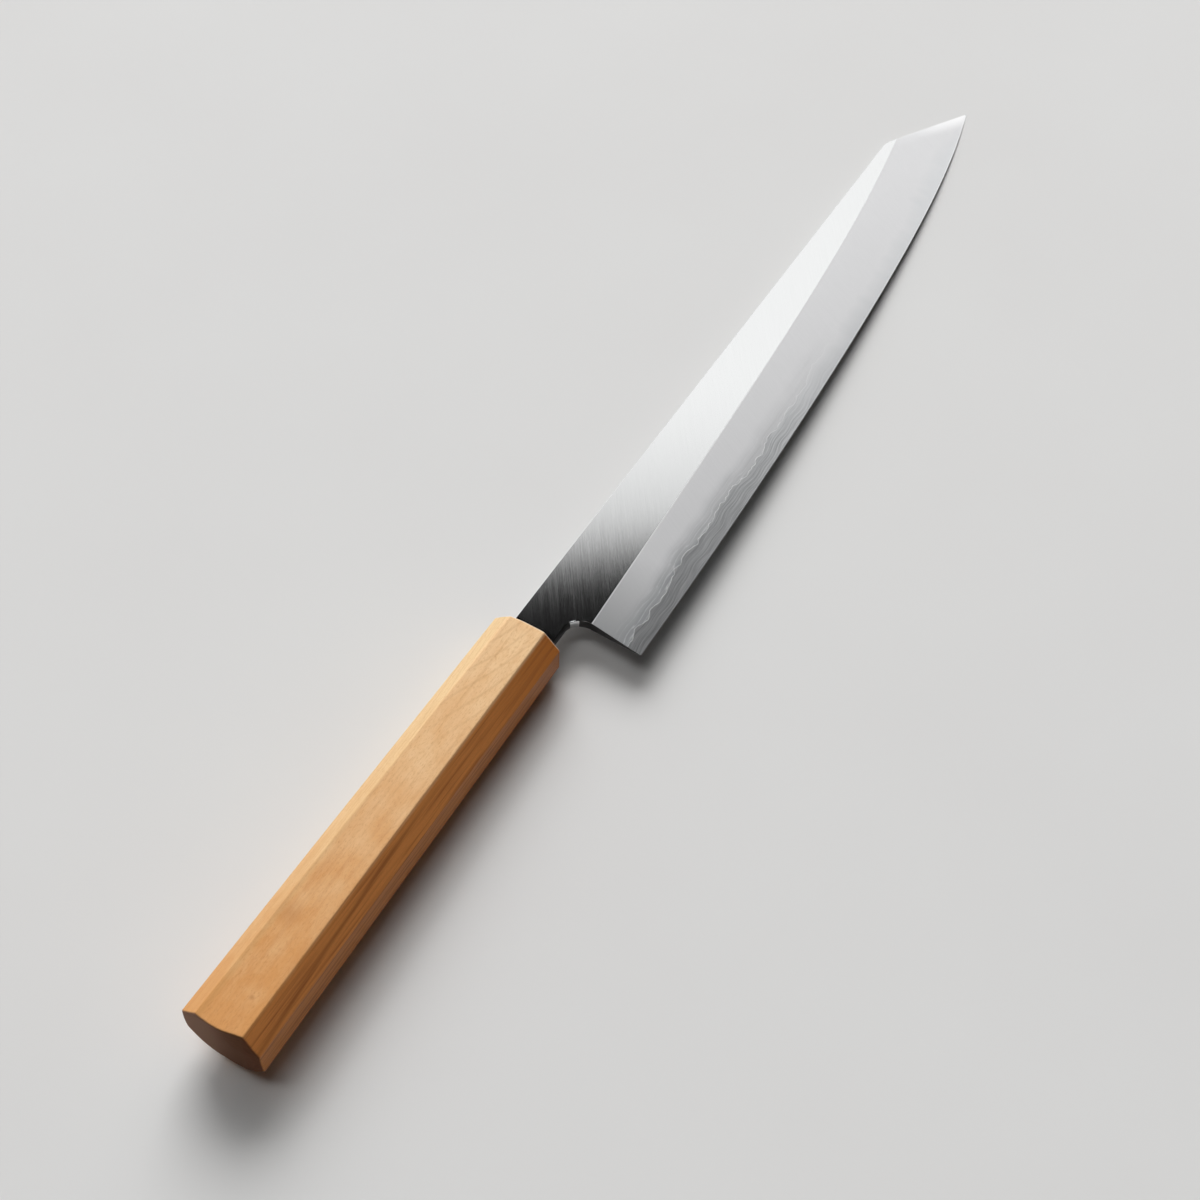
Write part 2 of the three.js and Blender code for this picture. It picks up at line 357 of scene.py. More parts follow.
def flatMaterial():
    # Soft steel, brushed on a belt at a slant: a bright sheen with fine slanted scratches
    material, add, place = newMaterial("softSteelBrushed")
    along = add("ShaderNodeSeparateXYZ", [place])["X"]
    # Belt scratches are finer than this, drawn wide enough to show
    scratches = grainNoise(add, place, (14 * mm, 0.4 * mm, 20 * mm), 3, 0.65, turn=36)
    worn = add("ShaderNodeMix", {0: scratches, 6: srgb("#cccdcd"), 7: srgb("#d2d3d3")}, data_type="RGBA")[2]
    fresh = add("ShaderNodeMix", {0: scratches, 6: srgb("#b3b4b4"), 7: srgb("#dfdfdf")}, data_type="RGBA")[2]
    # Away from the heel the scratches are rubbed faint
    rubbed = add(
        "ShaderNodeMapRange", {"Value": along, "From Min": rowX(20), "From Max": rowX(80)}, **softly
    )[0]
    colour = add("ShaderNodeMix", {0: rubbed, 6: fresh, 7: worn}, data_type="RGBA")[2]
    gloss = add("ShaderNodeMapRange", {"Value": scratches, **noiseSpan, "To Min": 0.05, "To Max": 0.065})[0]
    bump = add("ShaderNodeBump", {"Height": scratches, "Strength": 0.55, "Distance": 0.02 * mm})[0]
    showSurface(add, {"Base Color": colour, "Metallic": 1, "Roughness": gloss, "Normal": bump})
    return material


def clipPaintedHighlight(add, along, colour):  # a painted highlight along the clip towards the tip, for the bright light its rounded edge mirrors
    inward = add("ShaderNodeAttribute", attribute_name="fromClip")["Fac"]
    near = add(
        "ShaderNodeMapRange",
        {"Value": inward, "From Min": 0.6, "From Max": 6.5, "To Min": 0.7, "To Max": 0},
        **softly,
    )[0]
    tipwards = add("ShaderNodeMapRange", {"Value": along, "From Min": rowX(264), "From Max": rowX(280)})[0]
    amount = add("ShaderNodeMath", [near, tipwards], operation="MULTIPLY")[0]
    return add("ShaderNodeMix", {0: amount, 6: colour, 7: srgb("#f6f6f6")}, data_type="RGBA")[2]


def weldFade(add, along):  # the weld, and its bright line, show near the heel and fade towards the tip
    start, end = blade["weldShows"]
    weldShows = add(
        "ShaderNodeMapRange",
        {"Value": along, "From Min": rowX(start), "From Max": rowX(end), "To Min": 1, "To Max": 0},
    )[0]
    return weldShows, add("ShaderNodeMapRange", {"Value": weldShows, "From Max": 0.55})[0]


def bevelMaterial():
    # Soft steel hazed with stone powder: matt grey mist, dark and cloudy above a bright weld near the heel
    material, add, place = newMaterial("softSteelStoneHazed")
    along = add("ShaderNodeSeparateXYZ", [place])["X"]
    fromWeld, aboveWeld, fromRidge = (
        add(
            "ShaderNodeAttribute", attribute_name=name
        )["Fac"] for name in ("fromWeld", "aboveWeld", "fromRidge")
    )
    weldShows, lineShows = weldFade(add, along)
    clouds = grainNoise(add, place, (24 * mm, 1.5 * mm, 20 * mm), 4, 0.6)
    rubs = grainNoise(add, place, (7 * mm, 0.35 * mm, 20 * mm), 2, turn=62)
    # Painted shade: the bevel is darker next to the heel, standing in for a dark reflection there
    heelPaintedShade = add("ShaderNodeMapRange", {"Value": along, "From Min": rowX(46), "From Max": rowX(14)})[0]
    band = add(
        "ShaderNodeMapRange", {"Value": aboveWeld, "From Max": 6.5, "To Min": 1, "To Max": 0}, **softly
    )[0]
    cloudy = add("ShaderNodeMapRange", {"Value": clouds, **noiseSpan, "To Min": 0.6, "To Max": 1.25})[0]
    dark = add("ShaderNodeMath", [band, cloudy], operation="MULTIPLY")[0]
    dark = add("ShaderNodeMath", [dark, weldShows], operation="MULTIPLY")[0]

    # The weld shows as a bright line, with fainter lines of folded steel above it
    folds = add("ShaderNodeMath", [clouds, 3.2, aboveWeld], operation="MULTIPLY_ADD")[0]
    foldWave = add("ShaderNodeMath", [folds, 0.75], operation="PINGPONG")[0]
    foldLine = add(
        "ShaderNodeMapRange", {"Value": foldWave, "From Max": 0.18, "To Min": 0.42, "To Max": 0}
    )[0]
    foldAmount = add("ShaderNodeMath", [foldLine, dark], operation="MULTIPLY")[0]
    line = add(
        "ShaderNodeMapRange",
        {"Value": fromWeld, "From Min": 0.02, "From Max": 0.17, "To Min": 1, "To Max": 0},
    )[0]
    lineAmount = add("ShaderNodeMath", [line, lineShows], operation="MULTIPLY")[0]
    # A painted highlight along the ridge near the heel
    ridgeHighlight = add(
        "ShaderNodeMapRange",
        {"Value": fromRidge, "From Min": 0.1, "From Max": 0.45, "To Min": 0.6, "To Max": 0},
    )[0]
    ridgeHighlight = add("ShaderNodeMath", [ridgeHighlight, lineShows], operation="MULTIPLY")[0]
    colour = add("ShaderNodeMix", {0: rubs, 6: srgb("#d0d0d1"), 7: srgb("#d7d7d8")}, data_type="RGBA")[2]
    for amount, code in (
        (heelPaintedShade, "#a0a1a2"),
        (dark, "#97999b"),
        (foldAmount, "#f2f3f4"),
        (lineAmount, "#ffffff"),
        (ridgeHighlight, "#fbfbfb"),
    ):
        colour = add("ShaderNodeMix", {0: amount, 6: colour, 7: srgb(code)}, data_type="RGBA")[2]
    colour = clipPaintedHighlight(add, along, colour)
    gloss = add("ShaderNodeMapRange", {"Value": clouds, **noiseSpan, "To Min": 0.34, "To Max": 0.38})[0]
    bump = add("ShaderNodeBump", {"Height": rubs, "Strength": 0.06, "Distance": 0.02 * mm})[0]
    # Half metal only: the powder haze scatters light much like a matt coat
    showSurface(add, {"Base Color": colour, "Metallic": 0.5, "Roughness": gloss, "Normal": bump})
    return material


def coreMaterial():
    # Hard core steel, honed lengthways: darker and glossier than the cladding, streaked along the weld
    material, add, place = newMaterial("hardSteelHoned")
    along = add("ShaderNodeSeparateXYZ", [place])["X"]
    fromWeld, aboveWeld, fromEdge = (
        add(
            "ShaderNodeAttribute", attribute_name=name
        )["Fac"] for name in ("fromWeld", "aboveWeld", "fromEdge")
    )
    weldShows, lineShows = weldFade(add, along)
    weldSide = add("ShaderNodeCombineXYZ", {"X": along, "Y": aboveWeld})[0]
    streaks = grainNoise(add, weldSide, (18 * mm, 0.5, 1), 4, 0.7)
    contrast = add("ShaderNodeMapRange", {"Value": streaks, **noiseSpan})[0]

    # Towards the tip the stone has hazed both steels alike, and the weld no longer shows
    hazed = add("ShaderNodeMapRange", {"Value": weldShows, "From Min": 0.5, "From Max": 0}, **softly)[0]
    contrast = add("ShaderNodeMix", {0: hazed, 2: contrast, 3: 0.5})[0]
    colour = add("ShaderNodeMix", {0: contrast, 6: srgb("#a7a9ab"), 7: srgb("#e6e7e8")}, data_type="RGBA")[2]
    nearWeld = add("ShaderNodeMapRange", {"Value": fromWeld, "From Min": -5, "From Max": 0, "To Min": 0.1})[0]
    hazeAmount = add("ShaderNodeMath", [hazed, nearWeld], operation="MULTIPLY")[0]
    metal = add("ShaderNodeMapRange", {"Value": hazeAmount, "To Min": 1, "To Max": 0.5})[0]
    line = add("ShaderNodeMapRange", {"Value": fromWeld, "From Min": -0.12, "From Max": 0})[0]
    lineAmount = add("ShaderNodeMath", [line, lineShows], operation="MULTIPLY")[0]
    keen = add(
        "ShaderNodeMapRange",
        {"Value": fromEdge, "From Min": 0.2, "From Max": 0.5, "To Min": 0.35, "To Max": 0},
    )[0]
    for amount, code in ((hazeAmount, "#d3d3d4"), (lineAmount, "#e6e7e8"), (keen, "#f4f5f6")):
        colour = add("ShaderNodeMix", {0: amount, 6: colour, 7: srgb(code)}, data_type="RGBA")[2]
    colour = clipPaintedHighlight(add, along, colour)
    gloss = add("ShaderNodeMapRange", {"Value": hazeAmount, "To Min": 0.285, "To Max": 0.36})[0]
    bump = add("ShaderNodeBump", {"Height": streaks, "Strength": 0.08, "Distance": 0.02 * mm})[0]
    showSurface(add, {"Base Color": colour, "Metallic": metal, "Roughness": gloss, "Normal": bump})
    return material


def speckledMaterial(name, size, dark, pale, glosses, metal=0):
    material, add, place = newMaterial(name)
    specks = grainNoise(add, place, size, 2)
    colour = add("ShaderNodeMix", {0: specks, 6: srgb(dark), 7: srgb(pale)}, data_type="RGBA")[2]
    gloss = add(
        "ShaderNodeMapRange", {"Value": specks, **noiseSpan, "To Min": glosses[0], "To Max": glosses[1]}
    )[0]
    showSurface(add, {"Base Color": colour, "Metallic": metal, "Roughness": gloss})
    return material


wood = woodMaterial()
steelFlat = flatMaterial()
steelBevel = bevelMaterial()
steelCore = coreMaterial()
# Steel polished on a wheel, as on the spine and in the choil: near mirror, with faint lines
wheelLines = (4 * mm, 4 * mm, 0.3 * mm)
steelPolished = speckledMaterial("steelPolished", wheelLines, "#c2c3c4", "#d6d7d8", (0.08, 0.12), metal=1)
# Under the neck, on most of the choil and on the heel: painted near black with a soft gloss, for the shaded
# table that the steel mirrors there
steelPaintedNearBlack = speckledMaterial("steelNearBlackShade", (0.5 * mm,) * 3, "#0a0a09", "#171615", (0.3, 0.4))
# Epoxy filled with wood dust, cast in the socket: dull brown with pale specks
resin = speckledMaterial("epoxyWoodFilled", (0.4 * mm,) * 3, "#3f3022", "#6b543a", (0.35, 0.5))
print("materials made")


# Handle: an octagon swept from butt to front by Geometry Nodes, then cut for the tang


def settingName(label):  # "Corner Leg" as cornerLeg
    label = label.replace(" ", "")
    return label[0].lower() + label[1:]


def handleTree():
    tree = bpy.data.node_groups.new("octagonHandle", "GeometryNodeTree")
    add = partial(addNode, tree)
    sizes = {"Socket Depth": tang["length"] + tang["bedPastEnd"], "Socket Rise": tang["centreY"]}
    for i, (size, taper) in enumerate((("Width", "Taper"), ("Height", "Thinning"))):
        sizes["Butt " + size] = handle["butt"][i]
        sizes["Front " + size] = handle["front"][i]
        sizes["Socket " + size] = tang["root"][i] + 2 * tang["bed"]
        sizes["Socket " + taper] = (tang["root"][i] - tang["end"][i]) / tang["length"]
    for name in (
        "Length", "Corner Leg", "Arris Radius", "Butt Round", "Front Round",
        "Dome Reach", "Butt Dome", "Front Dome", "Butt Lean", "Front Proud",
    ):
        sizes[name] = handle[settingName(name)]
    for end in ("butt", "front"):
        for label, value in zip(("Y", "Z", "Depth", "Reach"), handle[end + "Worn"]):
            sizes[end.title() + " Worn " + label] = value
    counts = {name: handle[settingName(name)] for name in ("Round Steps", "Dome Steps", "Facet Cuts")}
    for names, kind in ((sizes, "Float"), (counts, "Int"), (("Material",), "Material")):
        for name in names:
            tree.interface.new_socket(name, in_out="INPUT", socket_type="NodeSocket" + kind)
    tree.interface.new_socket("Geometry", in_out="OUTPUT", socket_type="NodeSocketGeometry")
    given = add("NodeGroupInput")

    # Path: rings close together at each end, first over the domed end grain and then round its rim
    endSteps = add("ShaderNodeMath", [given["Round Steps"], given["Dome Steps"]], operation="ADD")[0]
    ringCount = add("ShaderNodeMath", [endSteps, 2.0, 2.0], operation="MULTIPLY_ADD")[0]
    line = add("GeometryNodeCurvePrimitiveLine", {"End": (1, 0, 0)})[0]
    path = add("GeometryNodeResampleCurve", {"Curve": line, "Count": ringCount})[0]
    index = add("GeometryNodeInputIndex")[0]
    lastIndex = add("ShaderNodeMath", [ringCount, 1.0], operation="SUBTRACT")[0]
    fromFront = add("ShaderNodeMath", [lastIndex, index], operation="SUBTRACT")[0]
    reaches = []
    insets = []
    for count, radius in ((index, given["Butt Round"]), (fromFront, given["Front Round"])):
        pastDome = add("ShaderNodeMath", [count, given["Dome Steps"]], operation="SUBTRACT")[0]
        share = add("ShaderNodeMath", [pastDome, given["Round Steps"]], operation="DIVIDE", use_clamp=True)[0]
        onDome = add("ShaderNodeMath", [pastDome, given["Dome Steps"]], operation="DIVIDE")[0]
        domeInset = add("ShaderNodeMath", [onDome, 0.0], operation="MINIMUM")[0]
        turn = add("ShaderNodeMath", [share, math.pi / 2], operation="MULTIPLY")[0]
        arc = []
        for wave in ("COSINE", "SINE"):
            swing = add("ShaderNodeMath", [turn], operation=wave)[0]
            left = add("ShaderNodeMath", [1.0, swing], operation="SUBTRACT")[0]
            arc.append(add("ShaderNodeMath", [left, radius], operation="MULTIPLY")[0])
        domeInset = add("ShaderNodeMath", [domeInset, given["Dome Reach"]], operation="MULTIPLY")[0]
        reaches.append(arc[0])
        insets.append(add("ShaderNodeMath", [arc[1], domeInset], operation="SUBTRACT")[0])
    buttX = add("ShaderNodeMath", [reaches[0], given["Length"]], operation="SUBTRACT")[0]
    frontX = add("ShaderNodeMath", [reaches[1], -1.0], operation="MULTIPLY")[0]
    inFront = add("ShaderNodeMath", [index, endSteps], operation="GREATER_THAN")[0]
    pathX = add("ShaderNodeMix", {0: inFront, 2: buttX, 3: frontX})[0]
    pathPlace = add("ShaderNodeCombineXYZ", {"X": pathX})[0]
    path = add("GeometryNodeSetPosition", {"Geometry": path, "Position": pathPlace})[0]
    inset = add("ShaderNodeMath", insets, operation="ADD")[0]
    # Where the painted rim highlight lies: the middle of the front rounding
    rimShare = add("ShaderNodeMath", [insets[1], given["Front Round"]], operation="DIVIDE")[0]
    rimStart, rimEnd = (
        add("ShaderNodeMapRange", {"Value": rimShare, "From Min": start, "From Max": full})[0]
        for start, full in ((0.03, 0.2), (0.6, 0.4))
    )
    rimHighlight = add("ShaderNodeMath", [rimStart, rimEnd], operation="MULTIPLY")[0]
    for name, value in (("endInset", inset), ("frontRim", rimHighlight)):
        path = add("GeometryNodeStoreNamedAttribute", {"Geometry": path, "Name": name, "Value": value})[0]

    # Section: a rectangle, cut at the corners, with each arris eased
    section = add(
        "GeometryNodeCurvePrimitiveQuadrilateral",
        {"Width": given["Front Width"], "Height": given["Front Height"]},
        mode="RECTANGLE",
    )[0]
    for count, radius in ((1, "Corner Leg"), (3, "Arris Radius")):
        section = add(
            "GeometryNodeFilletCurve",
            {"Curve": section, "Count": count, "Radius": given[radius]},
            mode="POLY",
        )[0]
    section = add("GeometryNodeSubdivideCurve", {"Curve": section, "Cuts": given["Facet Cuts"]})[0]
    body = add("GeometryNodeCurveToMesh", {"Curve": path, "Profile Curve": section, "Fill Caps": True})[0]

    # Taper: each half of the section moves out towards the butt, so the corner facets keep their width
    position = add("GeometryNodeInputPosition")[0]
    axes = add("ShaderNodeSeparateXYZ", [position])
    back = add("ShaderNodeMath", [axes["X"], -1.0], operation="MULTIPLY")[0]
    along = add("ShaderNodeMath", [back, given["Length"]], operation="DIVIDE")[0]
    endInset = add("GeometryNodeInputNamedAttribute", {"Name": "endInset"})[0]
    moved = {}
    for axis, size in (("Y", "Width"), ("Z", "Height")):
        growth = add(
            "ShaderNodeMath", [given["Butt " + size], given["Front " + size]], operation="SUBTRACT"
        )[0]
        halfGrowth = add("ShaderNodeMath", [growth, 0.5], operation="MULTIPLY")[0]
        out = add("ShaderNodeMath", [halfGrowth, along], operation="MULTIPLY")[0]
        netOut = add("ShaderNodeMath", [out, endInset], operation="SUBTRACT")[0]
        halfSize = add("ShaderNodeMath", [given["Front " + size], 0.5], operation="MULTIPLY")[0]
        halfFacet = add("ShaderNodeMath", [halfSize, given["Corner Leg"]], operation="SUBTRACT")[0]
        onFacet = add("ShaderNodeMath", [axes[axis], halfFacet], operation="DIVIDE")[0]
        side = add("ShaderNodeClamp", {"Value": onFacet, "Min": -1.0, "Max": 1.0})[0]
        moved[axis] = add("ShaderNodeMath", [side, netOut, axes[axis]], operation="MULTIPLY_ADD")[0]
    tapered = add("ShaderNodeCombineXYZ", {"X": axes["X"], "Y": moved["Y"], "Z": moved["Z"]})[0]
    body = add("GeometryNodeSetPosition", {"Geometry": body, "Position": tapered})[0]

    # Butt face: rings towards the middle let it bend
    corners = add("GeometryNodeInputMeshFaceNeighbors")["Vertex Count"]
    cap = add("ShaderNodeMath", [corners, 4.5], operation="GREATER_THAN")[0]
    inner = add("ShaderNodeMath", [cap, along], operation="MULTIPLY")[0]
    for _ in range(handle["capRings"]):
        grown = add(
            "GeometryNodeExtrudeMesh", {"Mesh": body, "Selection": inner, "Offset Scale": 0.0}, mode="FACES"
        )
        inner = grown["Top"]
        body = add(
            "GeometryNodeScaleElements",
            {"Geometry": grown["Mesh"], "Selection": inner, "Scale": handle["capShrink"]},
        )[0]

    # Ends: sanded by hand, so each face falls away towards its corners and an arris is worn
    across = add("ShaderNodeCombineXYZ", {"Y": axes["Y"], "Z": axes["Z"]})[0]
    spread = add("ShaderNodeVectorMath", [across, across], operation="DOT_PRODUCT")["Value"]
    shifts = {}
    for end, sign in (("Butt", 1.0), ("Front", -1.0)):
        middle = add("ShaderNodeMath", [given[end + " Height"], 0.5], operation="MULTIPLY")[0]
        flat = add("ShaderNodeMath", [middle, middle], operation="MULTIPLY")[0]
        beyond = add("ShaderNodeMath", [spread, flat], operation="SUBTRACT")[0]
        fall = add("ShaderNodeMath", [beyond, 0.0], operation="MAXIMUM")[0]
        wornArris = add("ShaderNodeCombineXYZ", {"Y": given[end + " Worn Y"], "Z": given[end + " Worn Z"]})[0]
        fromWorn = add("ShaderNodeVectorMath", [across, wornArris], operation="DISTANCE")["Value"]
        worn = add(
            "ShaderNodeMapRange",
            {
                "Value": fromWorn,
                "From Max": given[end + " Worn Reach"],
                "To Min": given[end + " Worn Depth"],
                "To Max": 0.0,
            },
            **softly,
        )[0]
        loss = add("ShaderNodeMath", [fall, given[end + " Dome"], worn], operation="MULTIPLY_ADD")[0]
        shifts[end] = add("ShaderNodeMath", [loss, sign], operation="MULTIPLY")[0]
    leanShare = add("ShaderNodeMath", [axes["Z"], given["Butt Height"]], operation="DIVIDE")[0]
    leanLeft = add("ShaderNodeMath", [0.5, leanShare], operation="SUBTRACT")[0]
    buttShift = add(
        "ShaderNodeMath", [leanLeft, given["Butt Lean"], shifts["Butt"]], operation="MULTIPLY_ADD"
    )[0]
    frontShift = add("ShaderNodeMath", [shifts["Front"], given["Front Proud"]], operation="ADD")[0]
    atFront = add("ShaderNodeMath", [along, 0.5], operation="LESS_THAN")[0]
    endShift = add("ShaderNodeMix", {0: atFront, 2: buttShift, 3: frontShift})[0]
    shift = add("ShaderNodeCombineXYZ", {"X": endShift})[0]
    body = add("GeometryNodeSetPosition", {"Geometry": body, "Offset": shift})[0]

    # Socket: cut by a tapered bar that starts in front of the handle
    cube = add("GeometryNodeMeshCube", {"Size": (2, 2, 2)})[0]
    corner = add("GeometryNodeInputPosition")[0]
    sides = add("ShaderNodeSeparateXYZ", [corner])
    atBack = add("ShaderNodeMath", [sides["X"], 0.0], operation="LESS_THAN")[0]
    deep = add("ShaderNodeMix", {0: atBack, 2: -tang["cutAhead"], 3: given["Socket Depth"]})[0]
    socketX = add("ShaderNodeMath", [deep, -1.0], operation="MULTIPLY")[0]
    socketAxes = {}
    for axis, size, taper in (
        ("Y", "Socket Width", "Socket Taper"), ("Z", "Socket Height", "Socket Thinning")
    ):
        loss = add("ShaderNodeMath", [deep, given[taper]], operation="MULTIPLY")[0]
        left = add("ShaderNodeMath", [given[size], loss], operation="SUBTRACT")[0]
        half = add("ShaderNodeMath", [left, 0.5], operation="MULTIPLY")[0]
        socketAxes[axis] = add("ShaderNodeMath", [half, sides[axis]], operation="MULTIPLY")[0]
    socketY = add("ShaderNodeMath", [socketAxes["Y"], given["Socket Rise"]], operation="ADD")[0]
    socketPlace = add("ShaderNodeCombineXYZ", {"X": socketX, "Y": socketY, "Z": socketAxes["Z"]})[0]
    socket = add("GeometryNodeSetPosition", {"Geometry": cube, "Position": socketPlace})[0]
    body = add("GeometryNodeMeshBoolean", {"Mesh 1": body, "Mesh 2": socket}, operation="DIFFERENCE")[0]
    body = add("GeometryNodeRealizeInstances", {"Geometry": body})[0]
    body = add("GeometryNodeSetMaterial", {"Geometry": body, "Material": given["Material"]})[0]
    add("NodeGroupOutput", {"Geometry": body})
    return tree, {**sizes, **counts, "Material": wood}


def handlePiece():
    tree, values = handleTree()
    blank = bpy.data.objects.new("handleBlank", bpy.data.meshes.new("handleBlank"))
    scene.collection.objects.link(blank)
    modifier = blank.modifiers.new("octagon", "NODES")
    modifier.node_group = tree
    for item in tree.interface.items_tree:
        if item.in_out == "INPUT":
            modifier[item.identifier] = values[item.name]
    ready = blank.evaluated_get(bpy.context.evaluated_depsgraph_get())
    mesh = bpy.data.meshes.new_from_object(ready)
    mesh.shade_flat()
    bpy.data.objects.remove(blank)
    return placePiece(mesh, "handle_octagon", "handle")


handlePiece()
print("handle made")


# Blade: three forged layers, each lofted through ribs that run from the edge to the spine


def spineY(x):
    return lerp(blade["spineRootY"], blade["clipCorner"][1], x / blade["clipCorner"][0])


def sweptY(x, start, end, sweep):
    along = max(0, (x - start[0]) / (end[0] - start[0]))
    return lerp(start[1], end[1], sum(share * along**power for share, power in sweep))


def edgeY(x):
    return sweptY(x, blade["heel"], blade["tip"], blade["edgeSweep"])


def ridgeY(x):
    return sweptY(x, blade["ridgeHeel"], blade["ridgeTip"], blade["ridgeSweep"])


def halfThickness(x):
    if x < blade["shoulderX"]:
        return lerp(tang["root"][1], tang["end"][1], -x / tang["length"]) / 2
    return lerp(blade["rootThickness"], blade["clipThickness"], x / blade["clipCorner"][0]) / 2


def weldMean(x, phase):  # share of the bevel that is core steel, without the teeth
    share = blade["coreShare"]
    if x < blade["shoulderX"]:
        return share
    for length, depth in blade["weldWaves"]:
        share += depth * math.sin(2 * math.pi * x / length + phase)
    return share


def weldShare(x, phase):
    share = weldMean(x, phase)
    if x < blade["shoulderX"]:
        return share
    length, depth = blade["weldTooth"]  # forging leaves teeth that climb slowly and drop fast
    run, sway = blade["toothWander"]
    tooth, along = divmod(x / length + phase + sway * noise.noise((x / run, phase, 2.5)), 1)
    peak = blade["toothPeak"]
    climb = along / peak if along < peak else (1 - along) / (1 - peak)
    share += depth * (climb * (0.5 + noise.cell(Vector((tooth, phase, 0.5)))) - 0.5)
    for length, depth in blade["weldFlutter"]:
        share += depth * noise.noise((x / length, phase * 9, 1.5))
    return share


def curvePoint(a, control, b, t):
    return a * (1 - t) ** 2 + control * 2 * t * (1 - t) + b * t**2


clipFrom = Vector(blade["clipCorner"])
clipTo = Vector(blade["tip"])
clipAlong = (clipTo - clipFrom).normalized()
clipOut = Vector((-clipAlong.y, clipAlong.x))


def topLine():  # points along the spine, round its corner and down the clip
    run = blade["clipCornerRun"]
    spineEnd = Vector((clipFrom.x - run, spineY(clipFrom.x - run)))
    clipStart = clipFrom + clipAlong * run
    middle = (clipFrom + clipTo) / 2 + clipOut * blade["clipBulge"]
    steps = round((spineEnd.x - blade["heel"][0]) / blade["ribStep"])
    points = []
    for i in range(steps):
        x = lerp(blade["heel"][0], spineEnd.x, i / steps)
        points.append(Vector((x, spineY(x))))
    for i in range(blade["cornerSteps"]):
        points.append(curvePoint(spineEnd, clipFrom, clipStart, i / blade["cornerSteps"]))
    for i in range(blade["clipSteps"]):
        points.append(curvePoint(clipStart, middle, clipTo, i / blade["clipSteps"]))
    points.append(curvePoint(clipStart, middle, clipTo, blade["clipEnd"]))
    return points


def tangSides(x):
    half = lerp(tang["root"][0], tang["end"][0], -x / tang["length"]) / 2
    return tang["centreY"] - half, tang["centreY"] + half


def bladeRibs():  # (bottom point, top point, kind, how far the rounded underside stands out) up to the tip
    ribs = []
    shoulder = blade["shoulderX"]
    for x in (-tang["length"], shoulder - blade["shoulderStep"]):
        low, high = tangSides(x)
        ribs.append((Vector((x, low)), Vector((x, high)), "tang", Vector((0, 0))))
    choilX, choilY = blade["choil"]
    arcX = blade["heelTopX"] - choilX
    arcY = blade["neckBottomY"] - choilY
    for x in (shoulder, lerp(shoulder, arcX, 0.5)):
        low = Vector((x, blade["neckBottomY"]))
        ribs.append((low, Vector((x, spineY(x))), "neck", Vector((0, -blade["neckRound"]))))
    for i in range(blade["choilSteps"] + 1):
        turn = i / blade["choilSteps"] * math.pi / 2
        low = Vector((arcX + choilX * math.sin(turn), arcY + choilY * math.cos(turn)))
        out = -Vector((math.sin(turn) / choilX, math.cos(turn) / choilY)).normalized()
        bulge = out * blade["neckRound"] * math.cos(turn)
        ribs.append((low, Vector((low.x, spineY(low.x))), "neck", bulge))
    lean = (blade["heelTopX"] - blade["heel"][0]) / (arcY - blade["heel"][1])
    for top in topLine():
        fade = max(0, 1 - (top.x - blade["heel"][0]) / blade["heelLeanRun"]) ** 2
        shift = lean * fade * (top.y - blade["heel"][1])
        low = Vector((top.x, edgeY(top.x)))
        high = Vector((top.x + shift, spineY(top.x + shift))) if shift else top
        ribs.append((low, high, "blade", Vector((0, 0))))
    return ribs


def ribX(rib, y):
    low, top = rib[:2]
    return lerp(low.x, top.x, (y - low.y) / (top.y - low.y))


def fromClip(x, y):  # distance in from the clip
    return max(0, -(Vector((x, y)) - clipFrom).dot(clipOut))


def faceHeight(x, y):  # half the blade's thickness at a point of its side
    low = edgeY(x)
    share = min(1, max(0, (y - low) / (ridgeY(x) - low)))
    height = lerp(blade["edgeThickness"] / 2, halfThickness(x), share)
    toClip = fromClip(x, y)
    if x > clipFrom.x and toClip < blade["clipRoll"]:
        fade = min(1, (x - clipFrom.x) / blade["clipRollRun"])
        height -= min(
            blade["clipDrop"], (1 - blade["clipKeep"]) * height
        ) * fade * (1 - toClip / blade["clipRoll"]) ** 2
    return height


def neckSection(rib, phase):  # the underside is rounded over from face to face
    low, top, kind, bulge = rib
    ease = blade["spineEase"]
    half = halfThickness(low.x)
    weldZ = weldShare(low.x, phase) * half
    weldTurn = math.acos(weldZ / half)
    edgeTurn = math.acos(blade["edgeThickness"] / 2 / half)

    def under(turn):
        place = low + bulge * math.sin(turn)
        return (place.x, place.y, half * math.cos(turn))

    points = [(top.x, top.y, weldZ), (top.x, top.y, half - ease)]
    mid = ease * blade["easeMiddle"]
    points += [(top.x, top.y - mid, half - mid), (top.x, top.y - ease, half)]
    points += [under(weldTurn * i / steps) for i in range(steps + 1)]
    points.append(under(weldTurn))
    inner = [under(lerp(weldTurn, edgeTurn, i / steps)) for i in range(1, steps + 1)]
    return points, inner, (low.y, low.y)


def bladeSection(rib, phase):
    low, top = rib[:2]
    ease = blade["spineEase"]

    def onFace(y):
        x = ribX(rib, y)
        return (x, y, faceHeight(x, y))

    ridge = min(ridgeY(ribX(rib, ridgeY(low.x))), top.y - ease)
    weldY = lerp(low.y, ridge, weldShare(low.x, phase))
    meanY = lerp(low.y, ridge, weldMean(low.x, phase))
    weldZ = onFace(weldY)[2]
    topZ = onFace(top.y)[2]
    spineZ = max(topZ - ease, blade["spineLand"] * topZ)
    points = [(top.x, top.y, min(weldZ, blade["topCore"] * topZ)), (top.x, top.y, spineZ)]
    midY = top.y - ease * blade["easeMiddle"]
    points.append((ribX(rib, midY), midY, lerp(spineZ, topZ, 1 - blade["easeMiddle"])))
    points += [onFace(top.y - ease), onFace(ridge)]
    points += [onFace(lerp(ridge, weldY, i / steps)) for i in range(1, steps + 1)]
    points.append(onFace(weldY))
    inner = [onFace(lerp(weldY, low.y, i / steps)) for i in range(1, steps + 1)]
    return points, inner, (weldY, meanY)


